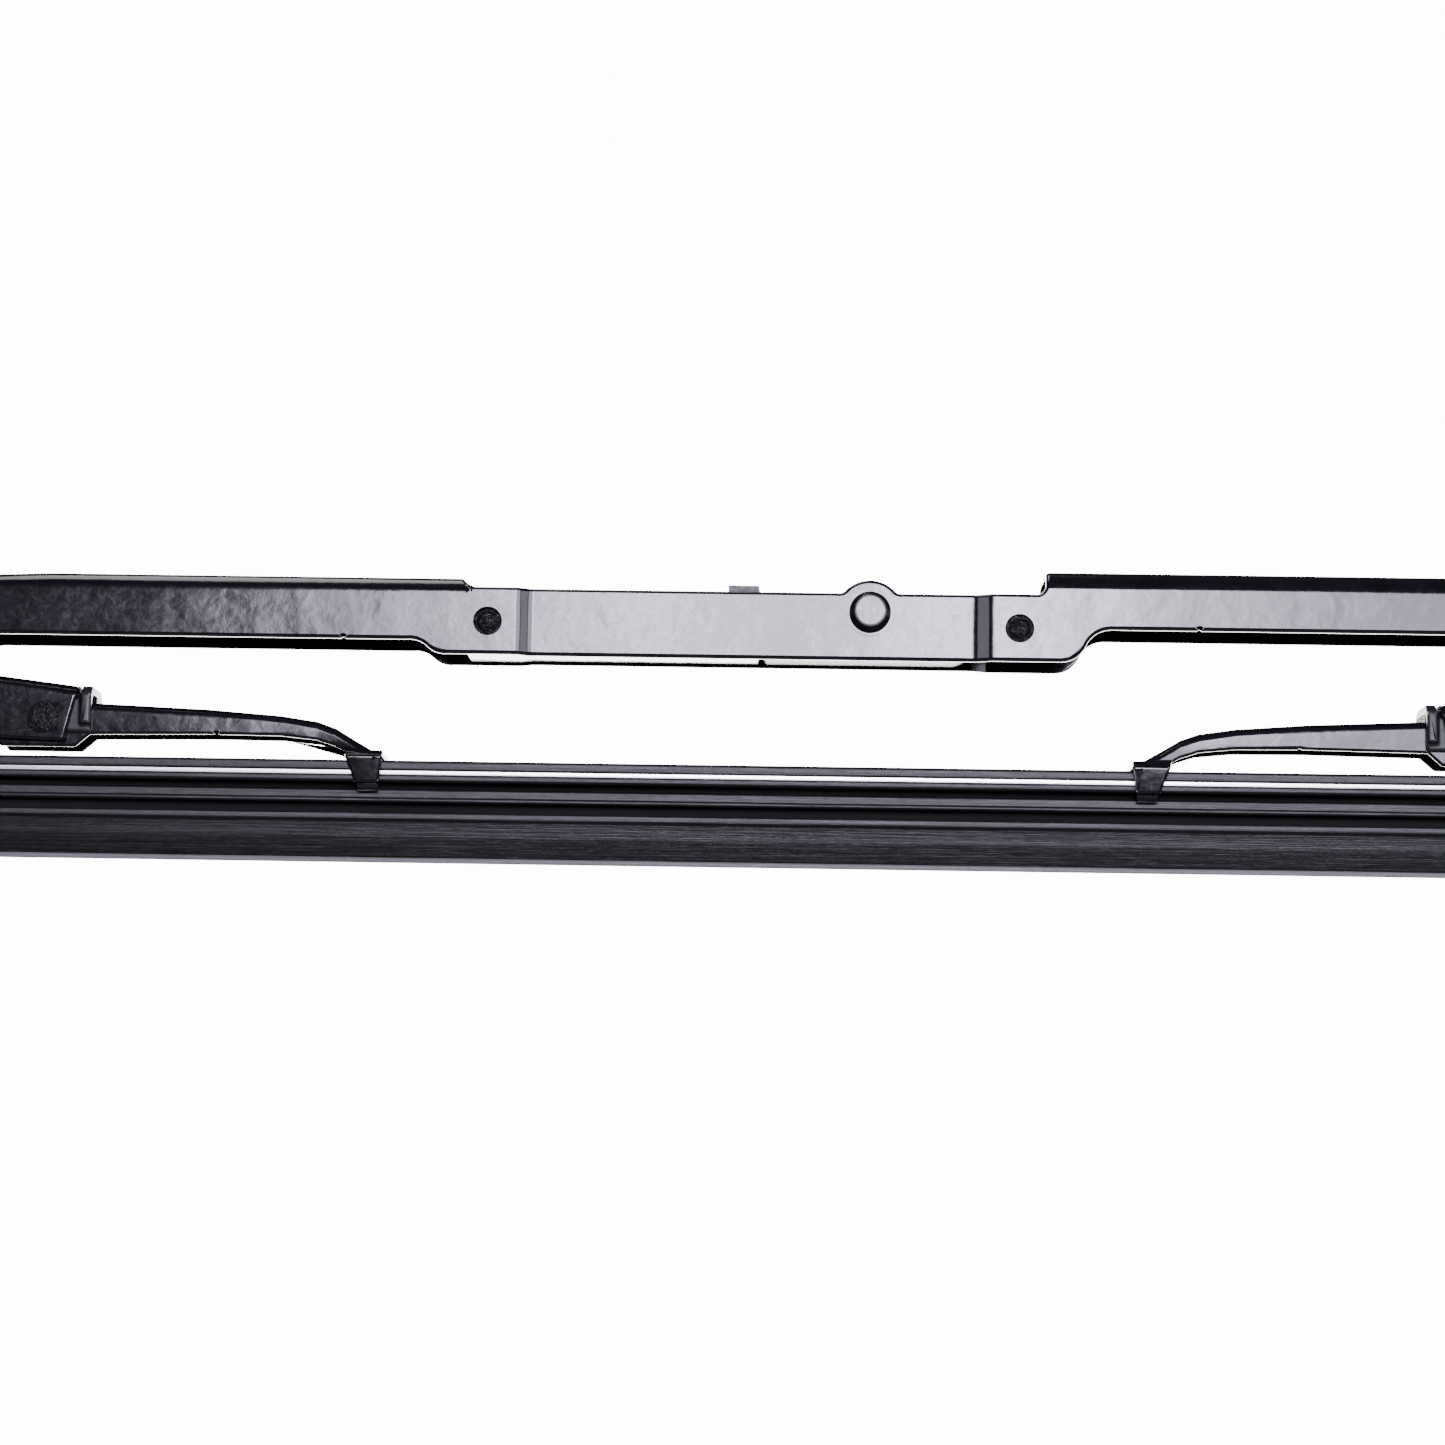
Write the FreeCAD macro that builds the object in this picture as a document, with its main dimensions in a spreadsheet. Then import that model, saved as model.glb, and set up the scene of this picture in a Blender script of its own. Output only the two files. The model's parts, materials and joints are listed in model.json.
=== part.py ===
import FreeCAD, Part
import math
import os
import Sketcher

# Windshield wiper blade of the bridge-and-claw kind, with its hook adapter.
# Outlines are drawn with X from the middle of the blade and Z above the wiping edge.
# Every finished sub-part is then placed so that the hook pin's axis is the origin.

DIMENSIONS = {
    # places: X from the middle of the blade, Z above the wiping edge
    "pin_x": 18.4,
    "pin_z": 42.4,
    "lever_pivot_x": 174.0,
    "lever_pivot_z": 31.5,
    "hub_x": 118.7,
    "hub_z": 22.9,
    "claw_reach": 54.1,
    "end_claw_x": 286.0,
    # main bridge, an inverted channel with a window in its top
    "bridge_sheet": 1.1,
    "bridge_half": 7.2,
    "waist_half": 5.9,
    "left_bend": 3.0,
    "right_bend": 3.6,
    "left_top": 47.4,
    "left_low": 36.7,
    "right_top": 49.9,
    "right_low": 39.9,
    "window_rim": 45.7,
    "window_low": 34.4,
    "window_left": -48.2,
    "window_right": 46.4,
    "waist_left": -39.1,
    "waist_left_run": 1.9,
    "waist_right": 37.2,
    "waist_right_run": 2.6,
    "arm_level": 118.0,
    "arm_end": 180.0,
    "arm_end_top": 39.6,
    "hump_radius": 5.6,
    "hump_shoulder": 3.75,
    "notch_radius": 0.35,
    "through": 40,
    "cross_rivet_left_x": -45.1,
    "cross_rivet_right_x": 43.2,
    "cross_rivet_z": 39.9,
    "cross_rivet_radius": 2.4,
    "cross_rivet_button": 1.65,
    "cross_rivet_sunk": 0.55,
    "cross_rivet_groove": 0.9,
    # rivets
    "hook_pin_radius": 2.6,
    "hook_head_radius": 3.45,
    "hook_face_radius": 2.5,
    "hook_head_tall": 2.1,
    "lever_rivet_radius": 2.0,
    "lever_rivet_head": 3.6,
    "lever_rivet_tall": 1.1,
    "yoke_rivet_radius": 1.6,
    "yoke_rivet_head": 2.65,
    "yoke_rivet_tall": 0.4,
    "running_gap": 0.05,
    # secondary levers
    "lever_sheet": 1.0,
    "lever_half": 5.5,
    "lever_bend": 2.0,
    "lever_inner_x": 112.9,
    "lever_inner_top": 28.4,
    "lever_low": 19.1,
    # yokes
    "yoke_sheet": 0.9,
    "yoke_half": 3.95,
    "claw_half": 5.1,
    "yoke_bend": 1.6,
    "yoke_top": 25.8,
    # squeegee
    "blade_half_length": 300.0,
    "rubber_top": 16.8,
    "head_half": 4.0,
    "slot_top": 15.15,
    "slot_low": 14.25,
    "slot_inner": 1.35,
    "head_low": 13.15,
    "neck_half": 1.2,
    "wing_top": 12.1,
    "wing_half": 2.6,
    "wing_low": 9.85,
    "wing_low_half": 2.35,
    "hinge_half": 0.5,
    "shoulder_top": 8.15,
    "shoulder_half": 1.9,
    "shoulder_low": 7.4,
    "edge_half": 0.32,
    "strip_thick": 0.85,
    "strip_half_length": 297.0,
    # adapter
    "adapter_half": 4.55,
    "adapter_left": 0.8,
    "adapter_right": 37.0,
    "adapter_low": 34.9,
    "adapter_top": 45.2,
    # stiffener under the window
    "stiffener_sheet": 0.8,
    "stiffener_floor": 34.85,
    "stiffener_right": 0.0,
    "stiffener_left": -48.7,
}

doc = FreeCAD.newDocument("wiper_blade")
dim = doc.addObject("Spreadsheet::Sheet", "dim")
for row, (word, size) in enumerate(DIMENSIONS.items(), start=1):
    dim.set(f"A{row}", word)
    dim.set(f"B{row}", str(size))
    dim.setAlias(f"B{row}", word)
doc.recompute()

sub_parts = []


def number(value):
    """A size: a plain number, or an expression on the sheet's aliases."""
    if not isinstance(value, str):
        return float(value)
    result = dim.evalExpression(value)
    return float(getattr(result, "Value", result))


def flat(start, end, radius=None, side=1):
    """One piece of an outline: a line, or an arc that bulges to the left (side 1) or right."""
    if radius is None:
        return Part.LineSegment(start, end)
    chord = end - start
    sag = radius - math.sqrt(radius ** 2 - chord.Length ** 2 / 4)
    out = FreeCAD.Vector(-chord.y, chord.x, 0).normalize() * (sag * side)
    return Part.ArcOfCircle(start, (start + end) / 2 + out, end)


def draw(sketch, outline):
    """Draw a closed outline. A corner is (x, y), or (x, y, radius, side) where an arc follows."""
    corners = [FreeCAD.Vector(number(p[0]), number(p[1]), 0) for p in outline]
    ends = []
    for index, point in enumerate(outline):
        start = corners[index]
        end = corners[(index + 1) % len(corners)]
        arc = (number(point[2]), point[3]) if len(point) > 2 else ()
        piece = sketch.addGeometry(flat(start, end, *arc))
        starts_first = (sketch.getPoint(piece, 1) - start).Length < 1e-5
        ends.append((piece, 1, 2) if starts_first else (piece, 2, 1))
    bound = []
    for index, point in enumerate(outline):
        piece, begin, _ = ends[index]
        before, _, finish = ends[index - 1]
        sketch.addConstraint(Sketcher.Constraint("Coincident", before, finish, piece, begin))
        for kind, value, place in (("DistanceX", point[0], corners[index].x),
                                   ("DistanceY", point[1], corners[index].y)):
            held = sketch.addConstraint(Sketcher.Constraint(kind, -1, 1, piece, begin, place))
            if isinstance(value, str):
                bound.append((held, value))
        if len(point) > 2:
            held = sketch.addConstraint(Sketcher.Constraint("Radius", piece, number(point[2])))
            if isinstance(point[2], str):
                bound.append((held, point[2]))
    for held, value in bound:
        sketch.setExpression(f"Constraints[{held}]", value)


def sketch_on(plane, name, *outlines):
    """A sketch on its own: 'XZ' is the side view, 'XY' the plan and 'YZ' the cross-section."""
    turn = {
        "XY": FreeCAD.Rotation(),
        "XZ": FreeCAD.Rotation(FreeCAD.Vector(1, 0, 0), 90),
        "YZ": FreeCAD.Rotation(FreeCAD.Vector(1, 1, 1), 120),
    }[plane]
    sketch = doc.addObject("Sketcher::SketchObject", name)
    sketch.Placement = FreeCAD.Placement(FreeCAD.Vector(), turn)
    for outline in outlines:
        draw(sketch, outline)
    return sketch


def slab(name, plane, outline, thickness, middle=None):
    """A sketch pushed out both ways by half the thickness."""
    sketch = sketch_on(plane, name + "_outline", outline)
    block = doc.addObject("Part::Extrusion", name)
    block.Base = sketch
    block.DirMode = "Normal"
    block.Solid = True
    block.Symmetric = True
    if isinstance(thickness, str):
        block.setExpression("LengthFwd", thickness)
    else:
        block.LengthFwd = thickness
    if middle:
        for axis, value in zip("xyz", middle):
            block.setExpression(f"Placement.Base.{axis}", str(value))
    return block


def join(name, pieces):
    whole = doc.addObject("Part::MultiFuse", name)
    whole.Shapes = pieces
    whole.Refine = True
    return whole


def common(name, first, second):
    both = doc.addObject("Part::MultiCommon", name)
    both.Shapes = [first, second]
    return both


def cut(name, base, tools):
    tool = tools[0] if len(tools) == 1 else join(name + "_tools", tools)
    rest = doc.addObject("Part::Cut", name)
    rest.Base = base
    rest.Tool = tool
    return rest


def rod(name, radius, half_length, x, z, y=0):
    """A cylinder along Y."""
    bar = doc.addObject("Part::Cylinder", name)
    bar.setExpression("Radius", str(radius))
    bar.setExpression("Height", f"2 * ({half_length})")
    bar.Placement.Rotation = FreeCAD.Rotation(FreeCAD.Vector(1, 0, 0), -90)
    bar.setExpression("Placement.Base.x", str(x))
    bar.setExpression("Placement.Base.y", f"({y}) - ({half_length})")
    bar.setExpression("Placement.Base.z", str(z))
    return bar


def finish(name, solid):
    """Give a sub-part its label and its place in the part's own frame."""
    solid.Label = name
    solid.setExpression("Placement.Base.x", "-dim.pin_x")
    solid.setExpression("Placement.Base.z", "-dim.pin_z")
    sub_parts.append(solid)
    return solid


def pressed_channel(name, stations, low, outline, sheet, bend):
    """A sheet pressed to an inverted channel with rounded bends.

    stations are (x, top, half width) along the channel. Its walls run down to low and are then
    trimmed by the side outline."""
    sections = []
    for index, (x, top, half) in enumerate(stations):
        outer = [
            (f"-({half})", low),
            (f"-({half})", f"({top}) - {bend}", bend, 1),
            (f"-({half}) + {bend}", top),
        ]
        inner = [
            (f"-({half}) + {bend}", f"({top}) - {sheet}", f"{bend} - {sheet}", -1),
            (f"-({half}) + {sheet}", f"({top}) - {bend}"),
            (f"-({half}) + {sheet}", low),
        ]
        sketch = sketch_on("YZ", f"{name}_section_{index}", outer + mirrored(outer) + mirrored(inner) + inner)
        sketch.setExpression("Placement.Base.x", str(x))
        sections.append(sketch)
    shell = doc.addObject("Part::Loft", name + "_shell")
    shell.Sections = sections
    shell.Solid = True
    shell.Ruled = True
    return common(name + "_channel", shell, slab(name + "_side", "XZ", outline, "dim.through"))


def mirrored(outline):
    """Turn an outline over, left for right, and read it the other way round."""
    turned = []
    count = len(outline)
    for index in range(count - 1, -1, -1):
        x, height = outline[index][:2]
        arc = ()
        if index > 0 and len(outline[index - 1]) > 2:
            arc = tuple(outline[index - 1][2:])
        turned.append((f"-({x})", height) + arc)
    return turned


def at_end(side, stations):
    """Stations of a channel at the blade's +X end, or the same at its -X end."""
    if side > 0:
        return stations
    return [(f"-({x})", top, half) for x, top, half in reversed(stations)]


# ---------------------------------------------------------------- main bridge

def bridge_arm(name, side, top, low, bend, window_edge, step, under):
    """One arm of the bridge, from the window out to the lever's pivot, drawn for the +X side.

    step is the cut edge of the top beside the window, and under is the low edge's last curve."""
    half = "dim.bridge_half"
    stations = [(window_edge, top, half)]
    for part in (0, 0.25, 0.5, 0.75, 1.0, 1.15):
        x = f"dim.arm_level + {part} * (dim.lever_pivot_x - dim.arm_level)"
        stations.append((x, f"{top} - ({top} - dim.arm_end_top) * {part} * {part}", half))
    outline = step + [
        (step[-1][0], f"{top} + 2"),
        ("dim.arm_level", f"{top} + 2"),
        ("dim.arm_end - 1.5", f"{top} + 2"),
        ("dim.arm_end - 1.5", 37.0),
        ("dim.arm_end", 33.5, 5.0, 1),
        ("dim.lever_pivot_x + 1", 26.9),
        ("dim.lever_pivot_x - 4", 27.1),
        (150.0, 33.4),
        (128.0, low),
    ] + under
    if side < 0:
        outline = mirrored(outline)
    return pressed_channel(name, at_end(side, stations), 20, outline, "dim.bridge_sheet", bend)


def waist_wall(side):
    """Plan of one wall beside the window, drawn in where the hook works."""
    def line(half):
        return [
            ("dim.window_left", half[0]),
            ("dim.waist_left - dim.waist_left_run / 2", half[0]),
            ("dim.waist_left + dim.waist_left_run / 2", half[1]),
            ("dim.waist_right - dim.waist_right_run / 2", half[1]),
            ("dim.waist_right + dim.waist_right_run / 2", half[0]),
            ("dim.window_right", half[0]),
        ]
    outer = line((f"{side} * dim.bridge_half", f"{side} * dim.waist_half"))
    inner = line((f"{side} * (dim.bridge_half - dim.bridge_sheet)",
                  f"{side} * (dim.waist_half - dim.bridge_sheet)"))
    return outer + list(reversed(inner))


def main_bridge():
    left = bridge_arm(
        "left_arm", -1, "dim.left_top", "dim.left_low", "dim.left_bend", "-dim.window_left",
        [("-dim.window_left", "dim.window_rim"), ("1.4 - dim.window_left", "dim.left_top")],
        [(58.6, "dim.left_low", 4.2, -1), (55.0, 35.5, 4.2, 1), (51.6, "dim.window_low"),
         ("-dim.window_left", "dim.window_low")])
    right = bridge_arm(
        "right_arm", 1, "dim.right_top", "dim.right_low", "dim.right_bend", "dim.window_right",
        [("dim.window_right", "dim.window_rim", 1.6, -1), ("dim.window_right + 1.1", "dim.window_rim + 1.2"),
         ("dim.window_right + 1.2", "dim.right_top - 0.6", 0.7, 1),
         ("dim.window_right + 1.8", "dim.right_top")],
        [(58.2, "dim.right_low", 4.6, -1), (54.2, 37.1, 4.6, 1), (50.2, "dim.window_low"),
         ("dim.window_right", "dim.window_low")])
    rim = [
        ("dim.window_left", "dim.window_low"),
        ("dim.window_left", "dim.window_rim"),
        ("dim.pin_x - 5.5", "dim.window_rim", 1.6, -1),
        ("dim.pin_x - 4.1", "dim.pin_z + dim.hump_shoulder", "dim.hump_radius", 1),
        ("dim.pin_x + 4.1", "dim.pin_z + dim.hump_shoulder", 1.6, -1),
        ("dim.pin_x + 5.5", "dim.window_rim"),
        ("dim.window_right", "dim.window_rim"),
        ("dim.window_right", "dim.window_low"),
    ]
    walls = []
    for side, word in ((-1, "front"), (1, "rear")):
        plan = slab(f"{word}_wall_plan", "XY", waist_wall(side), "5 * dim.through")
        walls.append(common(f"{word}_wall", slab(f"{word}_wall_side", "XZ", rim, "dim.through"), plan))
        collar = rod(f"{word}_pin_collar", "dim.hook_head_radius + 0.5", 0.15, "dim.pin_x", "dim.pin_z",
                     f"{side} * (dim.waist_half + 0.1)")
        walls.append(collar)
    whole = join("bridge_whole", [left, right] + walls)
    holes = [rod("hook_pin_hole", "dim.hook_pin_radius", "dim.through / 2", "dim.pin_x", "dim.pin_z")]
    for word in ("left", "right"):
        holes.append(rod(f"{word}_cross_hole", "dim.cross_rivet_radius", "dim.through / 2",
                         f"dim.cross_rivet_{word}_x", "dim.cross_rivet_z"))
    for side in (-1, 1):
        word = "left" if side < 0 else "right"
        holes.append(rod(f"{word}_pivot_hole", "dim.lever_rivet_radius", "dim.through / 2",
                         f"{side} * dim.lever_pivot_x", "dim.lever_pivot_z"))
    for word, x in (("left", -69.0), ("right", 73.0)):
        holes.append(rod(f"{word}_edge_notch", "dim.notch_radius", 2, x, f"dim.{word}_low - 0.15",
                         "-dim.bridge_half"))
    finish("main_bridge", cut("main_bridge_solid", whole, holes))


# ---------------------------------------------------------------- turned pieces

def origin_plane(body, role):
    return next(f for f in body.Origin.OriginFeatures if f.Role == role)


def turned_body(name, outline, x, z):
    """A body of revolution about a line along Y through (x, z). Outlines are (radius, y)."""
    body = doc.addObject("PartDesign::Body", name + "_body")
    sketch = body.newObject("Sketcher::SketchObject", name + "_half_section")
    sketch.AttachmentSupport = [(origin_plane(body, "XY_Plane"), "")]
    sketch.MapMode = "FlatFace"
    draw(sketch, outline)
    turn = body.newObject("PartDesign::Revolution", name + "_turned")
    turn.Profile = sketch
    turn.ReferenceAxis = (sketch, ["V_Axis"])
    turn.Angle = 360
    body.Tip = turn
    body.Label = name
    body.setExpression("Placement.Base.x", f"({x}) - dim.pin_x")
    body.setExpression("Placement.Base.z", f"({z}) - dim.pin_z")
    sub_parts.append(body)
    return body


def rivet(name, shank, head, tall, seat, x, z, face=None):
    """A rivet across the blade, with the same head at both ends. seat is the half width it clamps."""
    rim = face or f"{head} * 0.62"
    top = f"{seat} + {tall}"
    outline = [
        (0, f"-({top})"),
        (rim, f"-({top})"),
        (head, f"-({seat}) - 0.25 * ({tall})"),
        (head, f"-({seat})"),
        (shank, f"-({seat})"),
        (shank, seat),
        (head, seat),
        (head, f"{seat} + 0.25 * ({tall})"),
        (rim, top),
        (0, top),
    ]
    return turned_body(name, outline, x, z)


def hook_pin():
    rivet("hook_pin", "dim.hook_pin_radius", "dim.hook_head_radius", "dim.hook_head_tall",
          "dim.waist_half + 0.25", "dim.pin_x", "dim.pin_z", "dim.hook_face_radius")


def cross_rivet(word):
    """A plain bar, sunk in both walls and swaged there, with a button inside a ring groove at each end."""
    reach = "dim.bridge_half - dim.cross_rivet_sunk"
    groove = "dim.bridge_half - dim.cross_rivet_groove"
    end = [
        (0, f"{reach} + 0.1"),
        ("dim.cross_rivet_button - 0.4", reach),
        ("dim.cross_rivet_button", f"{groove} + 0.1"),
        ("dim.cross_rivet_button + 0.1", groove),
        ("dim.cross_rivet_radius", groove),
    ]
    outline = [(radius, f"-({y})") for radius, y in end] + list(reversed(end))
    turned_body(f"cross_rivet_{word}", outline, f"dim.cross_rivet_{word}_x", "dim.cross_rivet_z")


# ---------------------------------------------------------------- stiffener and adapter

def window_stiffener():
    gap = "dim.running_gap"
    wide = f"dim.bridge_half - dim.bridge_sheet - {gap}"
    narrow = f"dim.waist_half - dim.bridge_sheet - {gap}"
    jog = ("dim.waist_left - dim.waist_left_run / 2 - 0.3", "dim.waist_left + dim.waist_left_run / 2 - 0.3")

    def plan(half_wide, half_narrow, over):
        stations = [
            (f"dim.stiffener_left - {over}", half_wide),
            (jog[0], half_wide),
            (jog[1], half_narrow),
            (f"dim.stiffener_right + {over}", half_narrow),
        ]
        return stations + [(x, f"-({half})") for x, half in reversed(stations)]

    floor = "dim.stiffener_floor"
    side = [
        ("dim.stiffener_left", floor),
        ("dim.stiffener_left", f"{floor} + 3"),
        ("dim.cross_rivet_left_x - 3.4", "dim.cross_rivet_z", 3.4, 1),
        ("dim.cross_rivet_left_x + 3.4", "dim.cross_rivet_z"),
        ("dim.cross_rivet_left_x + 4.2", f"{floor} + 3"),
        ("dim.stiffener_right - 1.5", f"{floor} + 3"),
        ("dim.stiffener_right", f"{floor} + 1.2"),
        ("dim.stiffener_right", floor),
    ]
    block = common("stiffener_block", slab("stiffener_side", "XZ", side, "dim.through"),
                   slab("stiffener_plan", "XY", plan(wide, narrow, 0), "5 * dim.through"))
    thin = "dim.stiffener_sheet"
    trough = slab("stiffener_trough", "XY", plan(f"{wide} - {thin}", f"{narrow} - {thin}", 2), "dim.through",
                  (0, 0, f"{floor} + {thin} + dim.through / 2"))
    hole = rod("stiffener_hole", "dim.cross_rivet_radius", "dim.through / 2",
               "dim.cross_rivet_left_x", "dim.cross_rivet_z")
    finish("window_stiffener", cut("window_stiffener_solid", block, [trough, hole]))


def hook_adapter():
    """A moulded block that fills the arm's hook and turns on the pin, with a spring tongue and thumb tab."""
    low = "dim.adapter_low"
    top = "dim.adapter_top"
    right = "dim.adapter_right"
    left = "dim.adapter_left"
    outline = [
        (left, f"{low} + 0.5"),
        (left, "dim.pin_z - 1.5"),
        (f"{left} + 2.5", "dim.pin_z + 0.3"),
        (-5.2, "dim.pin_z + 0.3"),
        (-5.2, "dim.pin_z + 4.7"),
        (-0.1, "dim.pin_z + 4.7"),
        (0.4, f"{top} - 1.0"),
        (f"{left} + 3.5", f"{top} - 1.0"),
        (f"{left} + 4.5", top),
        (f"{right} - 4.8", top, 4.8, 1),
        (right, f"{top} - 4.8"),
        (right, f"{low} + 4.8", 4.8, 1),
        (f"{right} - 4.8", low),
        (f"{left} + 0.5", low),
    ]
    block = slab("adapter_block", "XZ", outline, "2 * dim.adapter_half")
    seat = [
        (f"{left} + 9.0", f"{top} - 2.6"),
        (f"{left} + 9.0", f"{top} + 3"),
        (f"{right} + 5", f"{top} + 3"),
        (f"{right} + 5", f"{top} - 6"),
        (f"{right} - 2.4", f"{top} - 6", 3.4, -1),
        (f"{right} - 5.8", f"{top} - 2.6"),
    ]
    hook_seat = slab("adapter_hook_seat", "XZ", seat, "2 * dim.adapter_half - 2.4")
    core = [
        (f"{left} + 1.4", f"{low} + 1.3"),
        (f"{left} + 1.4", "dim.pin_z - 2.4"),
        ("dim.pin_x - 5.2", "dim.pin_z - 2.4"),
        ("dim.pin_x - 5.2", f"{low} + 1.3"),
    ]
    front_core = slab("adapter_core", "XZ", core, "2 * dim.adapter_half - 2.6")
    tongue_side = [
        (-6.0, "dim.adapter_half + 1"),
        ("3.0", "dim.adapter_half + 1"),
        ("3.0", "dim.adapter_half - 1.2"),
        (-6.0, "dim.adapter_half - 1.2"),
    ]
    trims = [slab("tongue_trim_rear", "XY", tongue_side, 20, (0, 0, "dim.pin_z + 3"))]
    trims.append(slab("tongue_trim_front", "XY", [(x, f"-({y})") for x, y in tongue_side], 20,
                      (0, 0, "dim.pin_z + 3")))
    bore = rod("adapter_bore", "dim.hook_pin_radius + dim.running_gap", "dim.through / 2",
               "dim.pin_x", "dim.pin_z")
    finish("hook_adapter", cut("hook_adapter_solid", block, [hook_seat, front_core, bore] + trims))


# ---------------------------------------------------------------- levers, yokes and their bushes

def claw(name, x, inward):
    """A pair of claw fingers: the sheet wraps down both sides of the rubber's head and in under it.

    inward is the side of the claw on which its channel lies: that edge slants, the other is upright."""
    half = "dim.claw_half"
    inner = f"({half} - dim.yoke_sheet)"
    section = [
        (f"-{half} + 1.0", 18.4),
        (f"-{half}", 17.4),
        (f"-{half} + 0.35", 12.9, 1.4, 1),
        (f"-{half} + 1.75", 11.5),
        (f"-{half} + 1.9", 11.5),
        ("-dim.neck_half - 1.35", 12.2),
        ("-dim.neck_half - 0.3", 12.2),
        ("-dim.neck_half - 0.3", 13.05),
        (f"-{inner} + 0.45", 13.05),
        (f"-{inner}", 13.5),
        (f"-{inner}", 17.1),
        (f"-{inner} + 0.4", 17.4),
    ]
    wrap = slab(name + "_wrap", "YZ", section + mirrored(section), 12, (x, 0, 0))
    fingers = [
        (f"({x}) + {inward} * 3.9", 19.0),
        (f"({x}) + {inward} * 3.9", 17.4),
        (f"({x}) + {inward} * 2.2", 13.2),
        (f"({x}) + {inward} * 1.7", 11.0),
        (f"({x}) - {inward} * 1.6", 11.0),
        (f"({x}) - {inward} * 1.9", 13.2),
        (f"({x}) - {inward} * 2.4", 17.4),
        (f"({x}) - {inward} * 2.4", 19.0),
    ]
    return common(name, wrap, slab(name + "_fingers", "XZ", fingers, "dim.through"))


def yoke(side, word):
    """A small channel that rocks on the lever's end and ends in a pair of claws each way."""
    hub = f"{side} * dim.hub_x"

    def along(distance):
        return f"{hub} + ({distance})"

    narrow = "dim.yoke_half"
    wide = "dim.claw_half"
    between = "(2 * dim.yoke_half + dim.claw_half) / 3"
    crown = [(56.5, 18.2, wide), (54.9, 18.3, wide), (51.8, 20.1, between), (48.5, 22.1, narrow),
             (45.4, 23.2, narrow), (39.3, 24.1, narrow), (27.3, 25.0, narrow), (8.0, "dim.yoke_top", narrow)]
    stations = [(along(-place), top, half) for place, top, half in crown]
    stations += [(along(place), top, half) for place, top, half in reversed(crown)]
    half_skirt = [(56.5, 16.95), (54.9, 16.95), (51.8, 17.3), (48.5, 19.0), (45.4, 20.0), (39.3, 20.6),
                  (27.3, 20.7)]
    deep = [(7.6, 20.4), (5.2, 18.3), (-7.2, 18.3), (-8.6, 20.4)]
    if side > 0:
        deep = [(-place, low) for place, low in reversed(deep)]
    skirt = [(along(place), low) for place, low in half_skirt + deep]
    skirt += [(along(-place), low) for place, low in reversed(half_skirt)]
    outline = [(along(-56.5), 30), (along(56.5), 30)] + skirt
    channel = pressed_channel(f"{word}_yoke", stations, 14, outline, "dim.yoke_sheet", "dim.yoke_bend")
    pieces = [channel]
    for end in (-1, 1):
        place = f"{hub} + {end} * dim.claw_reach"
        pieces.append(claw(f"{word}_yoke_claw_{'left' if end < 0 else 'right'}", place, -end))
    whole = join(f"{word}_yoke_whole", pieces)
    bore = rod(f"{word}_yoke_bore", "dim.yoke_rivet_radius + dim.running_gap", "dim.through / 2",
               hub, "dim.hub_z")
    notches = [rod(f"{word}_yoke_notch_{index}", "dim.notch_radius", 2, along(place), 20.55, "-dim.yoke_half")
               for index, place in enumerate((-28.7, 28.7))]
    finish(f"{word}_yoke", cut(f"{word}_yoke_solid", whole, [bore] + notches))


def lever(side, word):
    """A longer channel that rocks under the bridge's end: a yoke at its inner end, claws at its outer."""
    half = "dim.lever_half"
    stations = [
        ("dim.lever_inner_x", "dim.lever_inner_top", half),
        (160.0, "dim.lever_inner_top + 5.8", half),
        (170.6, "dim.lever_inner_top + 6.35", half),
        (181.2, "dim.lever_inner_top + 5.5", half),
        (200.0, "dim.lever_inner_top + 2.7", half),
        (262.0, 21.7, "dim.claw_half"),
        ("dim.end_claw_x - 4", 18.7, "dim.claw_half"),
        ("dim.end_claw_x + 3.2", 18.3, "dim.claw_half"),
    ]
    outline = [
        ("dim.lever_inner_x", "dim.lever_inner_top"),
        ("dim.lever_inner_x", 40),
        ("dim.end_claw_x + 3.2", 40),
        ("dim.end_claw_x + 3.2", 16.95),
        (276.0, 16.95),
        (262.0, 18.2),
        (186.0, 26.4),
        (170.0, 26.6),
        (150.0, 23.4),
        (128.0, 19.5),
        ("dim.lever_inner_x + 2.2", "dim.lever_low"),
    ]
    if side < 0:
        outline = mirrored(outline)
    channel = pressed_channel(f"{word}_lever", at_end(side, stations), 10, outline, "dim.lever_sheet",
                              "dim.lever_bend")
    end = claw(f"{word}_lever_claw", f"{side} * dim.end_claw_x", -side)
    whole = join(f"{word}_lever_whole", [channel, end])
    holes = [
        rod(f"{word}_lever_pivot_bore", "dim.lever_rivet_radius + dim.running_gap", "dim.through / 2",
            f"{side} * dim.lever_pivot_x", "dim.lever_pivot_z"),
        rod(f"{word}_lever_hub_hole", "dim.yoke_rivet_radius", "dim.through / 2", f"{side} * dim.hub_x",
            "dim.hub_z"),
    ]
    finish(f"{word}_lever", cut(f"{word}_lever_solid", whole, holes))


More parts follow.
